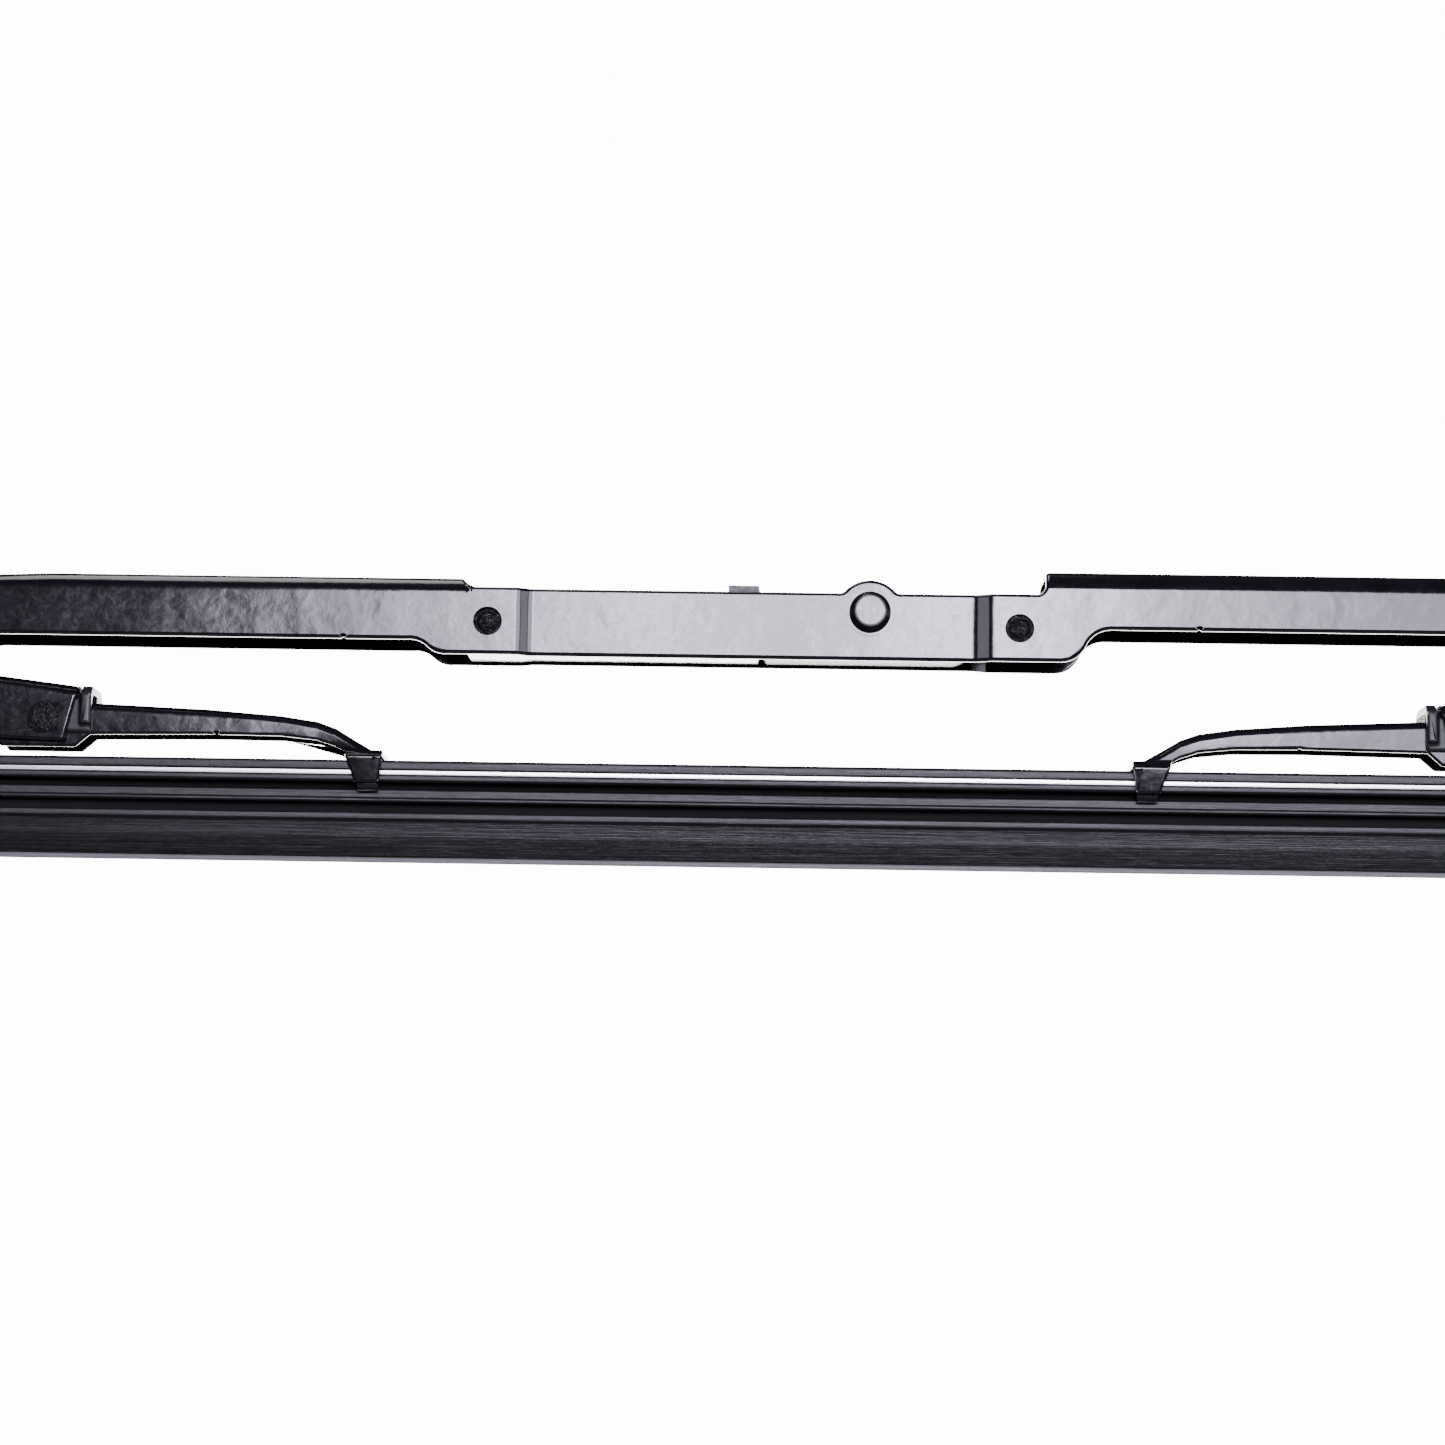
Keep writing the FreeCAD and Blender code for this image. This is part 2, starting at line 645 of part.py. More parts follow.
def lever_bush(side, word):
    """A plastic saddle over the lever at its pivot, which takes the rub of the bridge's walls."""
    pivot = f"{side} * dim.lever_pivot_x"
    outer = "dim.bridge_half - dim.bridge_sheet - dim.running_gap"
    inner = "dim.lever_half + dim.running_gap"
    roof = "dim.lever_pivot_z + 3.75"
    section = [
        (f"-({outer})", 20),
        (f"-({outer})", f"{roof} - 1.4"),
        (f"-({outer}) + 1.4", roof),
    ]
    bar = slab(f"{word}_bush_bar", "YZ", section + mirrored(section), 10, (pivot, 0, 0))
    side_view = [
        (f"{pivot} - 5", "dim.lever_pivot_z - 2"),
        (f"{pivot} - 5", "dim.lever_pivot_z + 5"),
        (f"{pivot} + 5", "dim.lever_pivot_z + 5"),
        (f"{pivot} + 5", "dim.lever_pivot_z - 2", 5.5, 1),
    ]
    block = common(f"{word}_bush_block", bar, slab(f"{word}_bush_side", "XZ", side_view, "dim.through"))
    hollow_section = [
        (f"-({inner})", 15),
        (f"-({inner})", f"{roof} - 1.7"),
        (f"-({inner}) + 1.3", f"{roof} - 0.4"),
    ]
    hollow = slab(f"{word}_bush_hollow", "YZ", hollow_section + mirrored(hollow_section), 14, (pivot, 0, 0))
    bore = rod(f"{word}_bush_bore", "dim.lever_rivet_radius + dim.running_gap", "dim.through / 2",
               pivot, "dim.lever_pivot_z")
    finish(f"{word}_lever_bush", cut(f"{word}_lever_bush_solid", block, [hollow, bore]))


def yoke_bush(side, word):
    """A plastic liner inside the lever's end, with a flange that shows past the end of the lever."""
    outer = "dim.lever_half - dim.lever_sheet - 0.02"
    inner = "dim.yoke_half + 0.1"
    flange = "dim.lever_half - 0.1"
    near = f"{side} * (dim.lever_inner_x - 2.1)"
    lip = f"{side} * (dim.lever_inner_x - 0.3)"
    far = f"{side} * (dim.hub_x + 6)"

    def section(name, half, top, low, bevel, first, last):
        outline = [(f"-({half})", low), (f"-({half})", f"{top} - {bevel}"), (f"-({half}) + {bevel}", top),
                   (f"{half} - {bevel}", top), (half, f"{top} - {bevel}"), (half, low)]
        centre = f"(({first}) + ({last})) / 2"
        return slab(name, "YZ", outline, f"abs(({last}) - ({first}))", (centre, 0, 0))

    shell = section(f"{word}_liner", outer, 27.3, 20.6, 1.0, near, far)
    rim = section(f"{word}_flange", flange, 28.5, 22.0, 1.4, near, lip)
    hollow = section(f"{word}_liner_hollow", inner, 26.8, 10.0, 0.8, f"{near} - {side} * 2", f"{far} + {side} * 2")
    bore = rod(f"{word}_liner_bore", "dim.yoke_rivet_radius + dim.running_gap", "dim.through / 2",
               f"{side} * dim.hub_x", "dim.hub_z")
    whole = join(f"{word}_liner_whole", [shell, rim])
    finish(f"{word}_yoke_bush", cut(f"{word}_yoke_bush_solid", whole, [hollow, bore]))


# ---------------------------------------------------------------- squeegee

def extruded_body(name, outline, half_length):
    """A body of one cross-section, drawn in Y and Z and pushed out both ways along the blade."""
    body = doc.addObject("PartDesign::Body", name + "_body")
    sketch = body.newObject("Sketcher::SketchObject", name + "_section")
    sketch.AttachmentSupport = [(origin_plane(body, "YZ_Plane"), "")]
    sketch.MapMode = "FlatFace"
    draw(sketch, outline)
    pad = body.newObject("PartDesign::Pad", name + "_length")
    pad.Profile = sketch
    pad.Midplane = True
    pad.setExpression("Length", f"2 * ({half_length})")
    body.Tip = pad
    body.Label = name
    body.setExpression("Placement.Base.x", "-dim.pin_x")
    body.setExpression("Placement.Base.z", "-dim.pin_z")
    sub_parts.append(body)


def wiper_rubber():
    half = [
        ("dim.head_half - 0.5", "dim.rubber_top"),
        ("dim.head_half", "dim.rubber_top - 0.5"),
        ("dim.head_half", "dim.slot_top"),
        ("dim.slot_inner", "dim.slot_top"),
        ("dim.slot_inner", "dim.slot_low"),
        ("dim.head_half", "dim.slot_low"),
        ("dim.head_half", "dim.head_low + 0.35"),
        ("dim.head_half - 0.35", "dim.head_low"),
        ("dim.neck_half", "dim.head_low"),
        ("dim.neck_half", "dim.wing_top"),
        ("dim.wing_half - 0.3", "dim.wing_top"),
        ("dim.wing_half", "dim.wing_top - 0.3"),
        ("dim.wing_low_half", "dim.wing_low + 0.3"),
        ("dim.wing_low_half - 0.3", "dim.wing_low"),
        ("dim.hinge_half", "dim.wing_low"),
        ("dim.hinge_half", "dim.shoulder_top"),
        ("dim.shoulder_half", "dim.shoulder_top"),
        ("dim.shoulder_half", "dim.shoulder_low"),
        ("dim.edge_half + 0.1", 0.85),
        ("dim.edge_half", 0),
    ]
    outline = half + [(f"-({y})", z) for y, z in reversed(half)]
    extruded_body("wiper_rubber", outline, "dim.blade_half_length")


def strip(side, word):
    inner = f"{side} * (dim.slot_inner + 0.05)"
    outer = f"{side} * (dim.head_half - 0.03)"
    low = "dim.slot_low + 0.025"
    outline = [(inner, low), (outer, low), (outer, f"{low} + dim.strip_thick"), (inner, f"{low} + dim.strip_thick")]
    extruded_body(f"{word}_strip", outline, "dim.strip_half_length")


main_bridge()
hook_pin()
for end_word in ("left", "right"):
    cross_rivet(end_word)
window_stiffener()
hook_adapter()
for end_side, end_word in ((-1, "left"), (1, "right")):
    lever(end_side, end_word)
    lever_bush(end_side, end_word)
    rivet(f"{end_word}_lever_rivet", "dim.lever_rivet_radius", "dim.lever_rivet_head", "dim.lever_rivet_tall",
          "dim.bridge_half", f"{end_side} * dim.lever_pivot_x", "dim.lever_pivot_z")
    yoke(end_side, end_word)
    yoke_bush(end_side, end_word)
    rivet(f"{end_word}_yoke_rivet", "dim.yoke_rivet_radius", "dim.yoke_rivet_head", "dim.yoke_rivet_tall",
          "dim.lever_half", f"{end_side} * dim.hub_x", "dim.hub_z")
wiper_rubber()
for end_side, end_word in ((-1, "front"), (1, "rear")):
    strip(end_side, end_word)

doc.recompute()
for thing in doc.Objects:
    if {"Invalid", "Error"} & set(thing.State):
        raise RuntimeError(f"{thing.Name} failed: {thing.State}")
os.makedirs("parts", exist_ok=True)
for sub_part in sub_parts:
    shape = sub_part.Shape
    if shape.isNull() or not shape.isValid() or not shape.Solids:
        raise RuntimeError(f"{sub_part.Label} has no valid solid")
    print(sub_part.Label, "solids", len(shape.Solids), "volume", round(shape.Volume, 1), shape.BoundBox)
for sub_part in sub_parts:
    sub_part.Shape.exportStep(f"parts/{sub_part.Label}.step")
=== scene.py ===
import json
import math
import bmesh
import bpy
from mathutils import Matrix, Vector
from mathutils.bvhtree import BVHTree

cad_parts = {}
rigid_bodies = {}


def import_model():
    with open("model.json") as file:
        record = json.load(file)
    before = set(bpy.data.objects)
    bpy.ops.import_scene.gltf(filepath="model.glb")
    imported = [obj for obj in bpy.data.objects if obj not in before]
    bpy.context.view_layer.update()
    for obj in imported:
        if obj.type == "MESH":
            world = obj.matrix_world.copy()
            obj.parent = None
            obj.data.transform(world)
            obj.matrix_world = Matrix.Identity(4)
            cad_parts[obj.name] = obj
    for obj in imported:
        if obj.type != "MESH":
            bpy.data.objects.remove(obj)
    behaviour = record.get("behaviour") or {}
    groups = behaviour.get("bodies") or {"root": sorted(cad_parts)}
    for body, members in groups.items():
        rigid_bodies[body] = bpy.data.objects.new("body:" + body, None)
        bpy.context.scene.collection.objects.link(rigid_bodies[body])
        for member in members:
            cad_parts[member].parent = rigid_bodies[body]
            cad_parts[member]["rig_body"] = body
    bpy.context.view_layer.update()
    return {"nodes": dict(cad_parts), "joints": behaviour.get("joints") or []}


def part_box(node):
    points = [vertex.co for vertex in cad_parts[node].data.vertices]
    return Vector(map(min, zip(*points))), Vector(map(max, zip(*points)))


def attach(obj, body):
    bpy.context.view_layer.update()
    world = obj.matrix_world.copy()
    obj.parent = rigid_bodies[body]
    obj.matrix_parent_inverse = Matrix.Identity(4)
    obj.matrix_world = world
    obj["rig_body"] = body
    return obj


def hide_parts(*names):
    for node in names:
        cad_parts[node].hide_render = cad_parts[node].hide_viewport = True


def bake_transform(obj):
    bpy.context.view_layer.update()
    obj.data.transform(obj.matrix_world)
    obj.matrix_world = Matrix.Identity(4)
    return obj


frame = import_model()

MM = 0.001
NODES = frame["nodes"]

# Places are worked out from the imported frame: the blade's middle is the middle of its rubber,
# and the wiping edge is the rubber's lowest line.
RUBBER_LOW, RUBBER_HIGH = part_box("wiper_rubber")
MIDDLE_X = (RUBBER_LOW.x + RUBBER_HIGH.x) / 2
EDGE_Z = RUBBER_LOW.z
JOINTS = {joint["name"]: joint for joint in frame["joints"]}


def at(x, y, z):
    """A point given in millimetres from the blade's middle and above its wiping edge."""
    return Vector((MIDDLE_X + x * MM, y * MM, EDGE_Z + z * MM))


# ------------------------------------------------------------------ materials

class Shader:
    """Short-hand for building one procedural material."""

    def __init__(self, name):
        self.material = bpy.data.materials.new(name)
        self.material.use_nodes = True
        self.tree = self.material.node_tree
        self.tree.nodes.clear()
        self.output = self.add("ShaderNodeOutputMaterial")
        self.surface = self.add("ShaderNodeBsdfPrincipled")
        self.link(self.surface.outputs[0], self.output.inputs[0])
        self.place = self.add("ShaderNodeTexCoord").outputs["Object"]

    def add(self, kind, **settings):
        node = self.tree.nodes.new(kind)
        for word, value in settings.items():
            setattr(node, word, value)
        return node

    def link(self, source, target):
        self.tree.links.new(source, target)

    def stretched(self, scale):
        """The object's coordinates, in millimetres, scaled along each axis."""
        mapping = self.add("ShaderNodeMapping")
        mapping.inputs["Scale"].default_value = [1000 * s for s in scale]
        self.link(self.place, mapping.inputs["Vector"])
        return mapping.outputs[0]

    def axes(self):
        """The object's X, Y and Z in millimetres."""
        parts = self.add("ShaderNodeSeparateXYZ")
        self.link(self.stretched((1, 1, 1)), parts.inputs[0])
        return parts.outputs[:3]

    def noise(self, scale, detail=3.0, roughness=0.55, along=(1, 1, 1), distortion=0.0):
        """Noise with scale features per millimetre."""
        node = self.add("ShaderNodeTexNoise")
        node.inputs["Scale"].default_value = scale
        node.inputs["Detail"].default_value = detail
        node.inputs["Roughness"].default_value = roughness
        node.inputs["Distortion"].default_value = distortion
        self.link(self.stretched(along), node.inputs["Vector"])
        return node.outputs["Fac"]

    def ramp(self, value, stops):
        """A colour, or a grey given as one number, between (position, colour) stops."""
        node = self.add("ShaderNodeValToRGB")
        elements = node.color_ramp.elements
        while len(elements) < len(stops):
            elements.new(0.5)
        for element, (position, colour) in zip(elements, stops):
            element.position = position
            if not hasattr(colour, "__len__"):
                colour = (colour, colour, colour)
            element.color = (*colour, 1)
        self.link(value, node.inputs[0])
        return node.outputs[0]

    def math(self, operation, first, second=0.0):
        """One sum of two values, each a number or another node's output."""
        node = self.add("ShaderNodeMath", operation=operation)
        for socket, value in zip(node.inputs, (first, second)):
            if isinstance(value, (int, float)):
                socket.default_value = value
            else:
                self.link(value, socket)
        return node.outputs[0]

    def mixed(self, share, first, second):
        """The first colour, giving way to the second as the share goes from 0 to 1."""
        node = self.add("ShaderNodeMix", data_type="RGBA")
        sockets = (node.inputs[0], node.inputs[6], node.inputs[7])
        for socket, value in zip(sockets, (share, first, second)):
            if isinstance(value, tuple):
                socket.default_value = (*value, 1)
            elif isinstance(value, float):
                socket.default_value = value
            else:
                self.link(value, socket)
        return node.outputs[2]

    def bump(self, height, distance, strength=1.0, before=None):
        """Bump of so many millimetres."""
        node = self.add("ShaderNodeBump")
        node.inputs["Distance"].default_value = distance * MM
        node.inputs["Strength"].default_value = strength
        self.link(height, node.inputs["Height"])
        if before is not None:
            self.link(before, node.inputs["Normal"])
        return node.outputs[0]

    def set(self, **values):
        """Give the surface its values, each a number, a colour or another node's output."""
        names = {
            "colour": "Base Color", "roughness": "Roughness", "metallic": "Metallic", "normal": "Normal",
            "ior": "IOR", "specular": "Specular IOR Level",
        }
        for word, value in values.items():
            socket = self.surface.inputs[names[word]]
            if isinstance(value, tuple):
                socket.default_value = (*value, 1)
            elif isinstance(value, (int, float)):
                socket.default_value = value
            else:
                self.link(value, socket)
        return self.material


# Millimetres. The pin's paint is rubbed off inside about two thirds of its reach.
PIN_REACH = 4.0
# The rubber is coloured dull black inside its grooves as painted shade: nearer the middle plane than its
# open faces, above the lip. The flanks above the lip's taper are a little duller, and the wiping edge is
# painted grey as a highlight.
OPEN_FACE = 1.42
LIP_TOP = 8.05
TAPER_TOP = 6.8
EDGE_HIGHLIGHT_HEIGHT = 1.0


def black_paint():
    """Stoved gloss black: deep, slightly blue, with a shallow orange peel and a few fine rubs."""
    shader = Shader("black_paint")
    tint = shader.ramp(shader.noise(0.12), [(0.3, (0.0030, 0.0030, 0.0045)),
                                            (0.7, (0.0060, 0.0058, 0.0085))])
    peel = shader.bump(shader.noise(0.9, 3.0, 0.6, distortion=0.4), 0.014, 0.9)
    dents = shader.bump(shader.noise(0.20, 2.0, 0.45, distortion=0.3), 0.085, 0.9, peel)
    waves = shader.bump(shader.noise(0.06, 1.5, along=(0.5, 1, 1)), 0.40, 0.6, dents)
    rubs = shader.noise(0.7, 4.0, 0.7, distortion=1.2)
    roughness = shader.ramp(rubs, [(0.35, 0.12), (0.60, 0.17), (0.78, 0.27)])
    return shader.set(colour=tint, roughness=roughness, normal=waves, ior=1.55, specular=0.62)


def rough_rivet():
    """The same paint, thin and broken over the coarse grain of a spun rivet head."""
    shader = Shader("rough_rivet")
    tint = shader.ramp(shader.noise(1.8), [(0.3, (0.002, 0.002, 0.003)), (0.75, (0.009, 0.009, 0.011))])
    grain = shader.bump(shader.noise(1.2, 3.0, 0.6, distortion=0.8), 0.5, 1.0)
    roughness = shader.ramp(shader.noise(2.2), [(0.3, 0.16), (0.7, 0.34)])
    return shader.set(colour=tint, roughness=roughness, normal=grain, ior=1.45, specular=0.22)


def worn_pin():
    """Paint rubbed thin on the flat end of a turned head; black where it has not been touched."""
    shader = Shader("worn_pin")
    patches = shader.noise(0.5, 4.0, 0.6, distortion=0.9)
    worn = shader.ramp(patches, [(0.30, (0.10, 0.095, 0.105)), (0.50, (0.19, 0.175, 0.175)),
                                 (0.72, (0.30, 0.27, 0.255))])
    x, _, z = shader.axes()
    squares = shader.math("ADD", shader.math("MULTIPLY", x, x), shader.math("MULTIPLY", z, z))
    from_axis = shader.math("DIVIDE", shader.math("SQRT", squares), PIN_REACH)
    ragged = shader.math("ADD", from_axis, shader.math("MULTIPLY", patches, 0.06))
    painted = shader.ramp(ragged, [(0.665, 0.0), (0.705, 1.0)])
    tint = shader.mixed(painted, worn, (0.006, 0.006, 0.008))
    scuffs = shader.bump(shader.noise(1.6, 3.0, 0.6), 0.03, 0.5)
    roughness = shader.ramp(shader.noise(1.1), [(0.3, 0.20), (0.7, 0.34)])
    return shader.set(colour=tint, roughness=roughness, normal=scuffs, ior=1.55, specular=0.62)


def black_nylon():
    """Moulded nylon, satin, with a fine spark texture."""
    shader = Shader("black_nylon")
    tint = shader.ramp(shader.noise(0.4), [(0.3, (0.010, 0.010, 0.012)), (0.7, (0.018, 0.018, 0.021))])
    texture = shader.bump(shader.noise(4.0, 3.0, 0.6), 0.03, 0.7)
    roughness = shader.ramp(shader.noise(1.2), [(0.3, 0.34), (0.7, 0.50)])
    return shader.set(colour=tint, roughness=roughness, normal=texture, ior=1.5)


def extruded_rubber():
    """Black rubber: fine lines along its length, a bloom that greys it, dull black painted shade in its
    grooves and a painted grey highlight along its wiping edge.
    """
    shader = Shader("extruded_rubber")
    lines = shader.noise(1.0, 6.0, 0.7, along=(0.05, 4.0, 4.0))
    bloom = shader.noise(0.10, 3.0, 0.6, along=(0.35, 1, 1))
    dark = shader.ramp(lines, [(0.30, (0.0010, 0.0010, 0.0016)), (0.55, (0.0024, 0.0024, 0.0034)),
                               (0.80, (0.009, 0.009, 0.010))])
    grey = shader.mixed(0.35, dark, (0.008, 0.008, 0.010))
    skin = shader.mixed(shader.ramp(bloom, [(0.4, 0.0), (0.7, 0.6)]), dark, grey)
    _, y, z = shader.axes()
    height = shader.math("SUBTRACT", z, EDGE_Z / MM)
    # Painted shade: inside the grooves, above the lip, the colour is near-black instead of the skin's.
    outer = shader.math("GREATER_THAN", shader.math("ABSOLUTE", y), OPEN_FACE)
    lip = shader.math("LESS_THAN", height, LIP_TOP)
    clear_of_groove_shade = shader.math("MAXIMUM", outer, lip)
    # Painted highlight: the lowest millimetre of the lip, with a ragged top, is coloured grey.
    ragged_height = shader.math("ADD", height, shader.math("MULTIPLY", lines, 0.25))
    painted_edge_highlight = shader.math("LESS_THAN", ragged_height, EDGE_HIGHLIGHT_HEIGHT)
    tint = shader.mixed(painted_edge_highlight, shader.mixed(clear_of_groove_shade, (0.0015, 0.0015, 0.0018), skin), (0.16, 0.16, 0.165))
    grooves = shader.bump(lines, 0.08, 0.8)
    dust = shader.bump(shader.noise(2.6, 2.0), 0.02, 0.4, grooves)
    duller = shader.math("MULTIPLY", shader.math("GREATER_THAN", height, TAPER_TOP), 0.08)
    satin = shader.math("ADD", shader.ramp(lines, [(0.3, 0.25), (0.75, 0.40)]), duller)
    gloss = shader.math("MULTIPLY", clear_of_groove_shade, shader.math("SUBTRACT", 1.0, satin))
    roughness = shader.math("SUBTRACT", 1.0, gloss)
    return shader.set(colour=tint, roughness=roughness, normal=dust, ior=1.5, specular=0.5)


def rolled_strip():
    """Bright spring steel with rolling lines along it."""
    shader = Shader("rolled_strip")
    lines = shader.noise(1.0, 3.0, 0.6, along=(0.02, 5.0, 5.0))
    tint = shader.ramp(lines, [(0.3, (0.72, 0.72, 0.74)), (0.7, (0.92, 0.92, 0.93))])
    roughness = shader.ramp(lines, [(0.3, 0.20), (0.7, 0.34)])
    return shader.set(colour=tint, roughness=roughness, normal=shader.bump(lines, 0.01, 0.5), metallic=1.0)


PAINT = black_paint()
RIVET = rough_rivet()
PIN = worn_pin()
NYLON = black_nylon()
RUBBER = extruded_rubber()
STRIP = rolled_strip()


# ------------------------------------------------------------------ meshes

def as_object(name, mesh, material):
    """A new object in the scene with one mesh and one material."""
    thing = bpy.data.objects.new(name, mesh)
    bpy.context.scene.collection.objects.link(thing)
    mesh.materials.clear()
    mesh.materials.append(material)
    return thing


def shade(bm, sharp_angle):
    """Smooth faces, with edges sharper than the angle kept crisp."""
    bm.normal_update()
    for face in bm.faces:
        face.smooth = True
    for edge in bm.edges:
        edge.smooth = len(edge.link_faces) == 2 and edge.calc_face_angle(0) < sharp_angle


def even_normals(piece):
    """Let each rounded edge take the turn in the surface, so that the flats beside it look flat."""
    weigh = piece.modifiers.new("even", "WEIGHTED_NORMAL")
    weigh.mode = "FACE_AREA"
    weigh.weight = 100
    weigh.keep_sharp = True
    bpy.context.view_layer.update()
    old = piece.data
    piece.data = bpy.data.meshes.new_from_object(piece.evaluated_get(bpy.context.evaluated_depsgraph_get()))
    piece.modifiers.clear()
    bpy.data.meshes.remove(old)


def faces_out(edge):
    """Whether an edge bounds the side of the sheet that looks away from the blade's middle plane."""
    middle = (edge.verts[0].co + edge.verts[1].co) / 2
    return sum(face.normal.y for face in edge.link_faces) * middle.y > 0


def off_places(edge, places, reach=4.2):
    """Whether an edge's middle is further than the reach, in millimetres, from every (x, z) place."""
    middle = (edge.verts[0].co + edge.verts[1].co) / 2
    return all(math.hypot(middle.x - x, middle.z - z) > reach * MM for x, z in places)


def held_in(bm, surface, width):
    """Bring back any point that rounding threw further from the CAD surface than a rounding can be.

    A rounding of a square corner stays within 0.3 of its width from the corner."""
    for vertex in bm.verts:
        near, _, _, gap = surface.find_nearest(vertex.co)
        if gap > 0.32 * width * MM:
            vertex.co = near


def edge_broken(node, name, material, width, segments=3, corner=32, outer=None, plain=()):
    """The CAD piece with its sharp edges rounded as sheet and mouldings are.

    width is in millimetres, and corner is the smallest turn, in degrees, that is rounded.
    outer is the rounding of the outward edges where it differs. Edges round the plain places, which
    are rivet holes, stay as cut."""
    source = NODES[node]
    bm = bmesh.new()
    bm.from_mesh(source.data)
    bmesh.ops.remove_doubles(bm, verts=bm.verts, dist=2e-6)
    bmesh.ops.dissolve_limit(bm, angle_limit=math.radians(0.6), verts=bm.verts, edges=bm.edges,
                             delimit={"NORMAL"})
    bmesh.ops.dissolve_degenerate(bm, dist=2e-6, edges=bm.edges)
    surface = BVHTree.FromBMesh(bm)
    for amount, outward in ((width, False), (outer or width, True)):
        bm.normal_update()
        sharp = [e for e in bm.edges
                 if len(e.link_faces) == 2 and e.calc_face_angle(0) > math.radians(corner)
                 and faces_out(e) == outward and off_places(e, plain)]
        bmesh.ops.bevel(bm, geom=sharp, offset=amount * MM, offset_type="OFFSET", segments=segments,
                        profile=0.5, affect="EDGES", clamp_overlap=not outer)
    held_in(bm, surface, outer or width)
    bmesh.ops.dissolve_degenerate(bm, dist=1e-6, edges=bm.edges)
    bmesh.ops.triangulate(bm, faces=[f for f in bm.faces if len(f.verts) > 4])
    shade(bm, math.radians(40))
    mesh = bpy.data.meshes.new(name)
    bm.to_mesh(mesh)
    bm.free()
    piece = as_object(name, mesh, material)
    even_normals(piece)
    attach(piece, source["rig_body"])
    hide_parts(node)
    return piece


def swept(name, section, first, last, step, material):
    """A closed bar of one cross-section, given as (y, z) in millimetres, from x first to last."""
    count = max(1, round((last - first) / step))
    bm = bmesh.new()
    rings = []
    for index in range(count + 1):
        x = first + (last - first) * index / count
        rings.append([bm.verts.new(at(x, y, z)) for y, z in section])
    size = len(section)
    for ring, following in zip(rings, rings[1:]):
        for i in range(size):
            j = (i + 1) % size
            bm.faces.new((ring[i], ring[j], following[j], following[i]))
    bm.faces.new(list(reversed(rings[0])))
    bm.faces.new(rings[-1])
    bmesh.ops.recalc_face_normals(bm, faces=bm.faces)
    shade(bm, math.radians(34))
    mesh = bpy.data.meshes.new(name)
    bm.to_mesh(mesh)
    bm.free()
    return as_object(name, mesh, material)


def rounded(outline, radius, steps=3):
    """Round the corners of a closed outline of (y, z, share of the radius) points."""
    result = []
    count = len(outline)
    for index, (y, z, share) in enumerate(outline):
        here = Vector((y, z))
        if share == 0:
            result.append((y, z))
            continue
        before = Vector(outline[index - 1][:2]) - here
        after = Vector(outline[(index + 1) % count][:2]) - here
        reach = min(radius * share, before.length * 0.45, after.length * 0.45)
        start = here + before.normalized() * reach
        end = here + after.normalized() * reach
        for step in range(steps + 1):
            t = step / steps
            point = start * (1 - t) ** 2 + here * 2 * t * (1 - t) + end * t ** 2
            result.append((point.x, point.y))
    return result


# ------------------------------------------------------------------ squeegee

def rubber_section():
    """Half of the rubber's cross-section from the head down to the lip, mirrored to the other side."""
    half = [
        (1.4, 16.72, 0.6), (3.6, 16.8, 1.2), (3.98, 16.45, 1.0), (4.0, 15.2, 0.8), (3.62, 15.13, 0.5),
        (1.4, 15.13, 0.0), (1.4, 14.27, 0.0), (3.62, 14.27, 0.5), (4.0, 14.2, 0.8), (3.98, 13.42, 0.8),
        (3.65, 13.17, 0.8), (1.2, 13.15, 0.8), (1.2, 12.2, 0.8), (2.15, 12.2, 1.0), (2.45, 11.85, 1.0),
        (2.36, 10.75, 0.6), (2.60, 10.48, 0.6), (2.60, 10.08, 0.8), (2.3, 9.87, 0.8), (0.5, 9.85, 1.0),
        (0.5, 8.25, 1.0), (1.80, 8.25, 0.6), (1.95, 8.05, 0.6), (1.94, 7.15, 0.8), (1.58, 6.85, 1.0),
        (1.26, 4.3, 1.0), (0.50, 0.95, 1.0), (0.36, 0.72, 1.0), (0.32, 0.02, 0.5),
    ]
    outline = half + [(-y, z, share) for y, z, share in reversed(half)]
    return rounded(outline, 0.3)


def strip_section(side):
    """The near (-1) or far (1) spring strip, lying in its slot in the rubber's head."""
    inner, outer = side * 1.45, side * 3.93
    low, high = 14.29, 15.11
    return rounded([(inner, low, 0.4), (outer, low, 1.0), (outer, high, 1.0), (inner, high, 0.4)], 0.12)


HALF_LENGTH = (RUBBER_HIGH.x - RUBBER_LOW.x) / 2 / MM
STRIP_HALF = HALF_LENGTH - 3.0
HUB = (JOINTS["right_yoke_rock"]["pos_m"][0] - MIDDLE_X) / MM
# Millimetres from a yoke's rivet to its claws, and from the blade's middle to its end claws.
REACH = 54.1
NEAR_CLAW = HUB - REACH
FAR_CLAW = HUB + REACH


def along_blade(name, section, half_length, material, nodes):
    """A bar along the blade in five stretches that meet inside the claws: the middle one rides on the
    squeegee and the inner ones on the yokes, so these move with their claws; the outer ones are attached to
    no body.
    """
    step = 4.0  # millimetres between cross-sections
    middle = swept(f"{name}_middle", section, -NEAR_CLAW, NEAR_CLAW, step, material)
    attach(middle, "squeegee")
    pieces = [middle]
    for side, word in ((-1, "left"), (1, "right")):
        ends = sorted((side * NEAR_CLAW, side * FAR_CLAW))
        inner = swept(f"{name}_{word}_inner", section, *ends, step, material)
        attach(inner, f"{word}_yoke")
        ends = sorted((side * FAR_CLAW, side * half_length))
        outer = swept(f"{name}_{word}_outer", section, *ends, step, material)
        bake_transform(outer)
        pieces += [inner, outer]
    for piece in pieces:
        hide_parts(*nodes)


